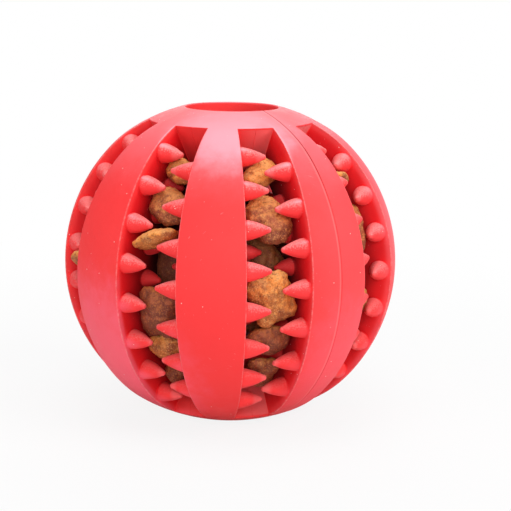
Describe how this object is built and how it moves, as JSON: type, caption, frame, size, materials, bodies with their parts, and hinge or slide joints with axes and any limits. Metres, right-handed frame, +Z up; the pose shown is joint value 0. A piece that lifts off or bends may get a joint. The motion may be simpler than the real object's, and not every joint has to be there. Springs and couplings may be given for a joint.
{
  "type": "treat dispensing ball",
  "caption": "Hollow rubber ball with a round mouth at each pole, toothed slots from pole to pole and biscuit treats lodged between the teeth.",
  "frame": {"origin": "centre of the ball", "axes": "+Z along the axis through both mouths, -Y through the middle of slot 1; slots are counted to the right as seen from outside with +Z up"},
  "size_m": [0.0688, 0.0688, 0.0654],
  "materials": {
    "rubber": "matte",
    "biscuit": "matte"
  },
  "bodies": {
    "ball": {"ball_shell": "rubber", "treat_slot1_crown": "biscuit", "treat_slot1_upper": "biscuit", "treat_slot1_heart": "biscuit", "treat_slot1_middle": "biscuit", "treat_slot1_inner": "biscuit", "treat_slot1_lower": "biscuit", "treat_slot1_foot": "biscuit", "treat_slot2_upper": "biscuit", "treat_slot2_heart": "biscuit", "treat_slot2_middle": "biscuit", "treat_slot2_foot": "biscuit", "treat_slot3_crown": "biscuit", "treat_slot3_upper": "biscuit", "treat_slot3_heart": "biscuit", "treat_slot3_middle": "biscuit", "treat_slot3_lower": "biscuit", "treat_slot3_foot": "biscuit", "treat_slot4_crown": "biscuit", "treat_slot4_upper": "biscuit", "treat_slot4_heart": "biscuit", "treat_slot4_middle": "biscuit", "treat_slot4_foot": "biscuit", "treat_slot5_crown": "biscuit", "treat_slot5_upper": "biscuit", "treat_slot5_heart": "biscuit", "treat_slot5_middle": "biscuit", "treat_slot5_inner": "biscuit", "treat_slot5_lower": "biscuit", "treat_slot5_foot": "biscuit", "treat_slot6_upper": "biscuit", "treat_slot6_heart": "biscuit", "treat_slot6_middle": "biscuit", "treat_slot6_foot": "biscuit", "treat_slot7_crown": "biscuit", "treat_slot7_upper": "biscuit", "treat_slot7_heart": "biscuit", "treat_slot7_middle": "biscuit", "treat_slot7_foot": "biscuit", "treat_slot8_crown": "biscuit", "treat_slot8_upper": "biscuit", "treat_slot8_heart": "biscuit", "treat_slot8_middle": "biscuit", "treat_slot8_lower": "biscuit", "treat_slot8_foot": "biscuit"},
    "slot2_outer_treat": {"treat_slot2_outer": "biscuit"},
    "slot3_outer_treat": {"treat_slot3_outer": "biscuit"},
    "slot4_outer_treat": {"treat_slot4_outer": "biscuit"},
    "slot6_outer_treat": {"treat_slot6_outer": "biscuit"},
    "slot7_outer_treat": {"treat_slot7_outer": "biscuit"},
    "slot8_outer_treat": {"treat_slot8_outer": "biscuit"}
  },
  "joints": [
    {"name": "slot2_outer_treat_slide", "type": "slide", "parent": "ball", "child": "slot2_outer_treat", "axis": [0.5546, -0.5546, 0.6203], "range_m": [0, 0.015]},
    {"name": "slot3_outer_treat_slide", "type": "slide", "parent": "ball", "child": "slot3_outer_treat", "axis": [0.9561, 0, 0.293], "range_m": [0, 0.015]},
    {"name": "slot4_outer_treat_slide", "type": "slide", "parent": "ball", "child": "slot4_outer_treat", "axis": [0.7057, 0.7057, 0.0619], "range_m": [0, 0.015]},
    {"name": "slot6_outer_treat_slide", "type": "slide", "parent": "ball", "child": "slot6_outer_treat", "axis": [-0.5546, 0.5546, 0.6203], "range_m": [0, 0.015]},
    {"name": "slot7_outer_treat_slide", "type": "slide", "parent": "ball", "child": "slot7_outer_treat", "axis": [-0.9981, 0, 0.0619], "range_m": [0, 0.015]},
    {"name": "slot8_outer_treat_slide", "type": "slide", "parent": "ball", "child": "slot8_outer_treat", "axis": [-0.6761, -0.6761, 0.293], "range_m": [0, 0.015]}
  ]
}
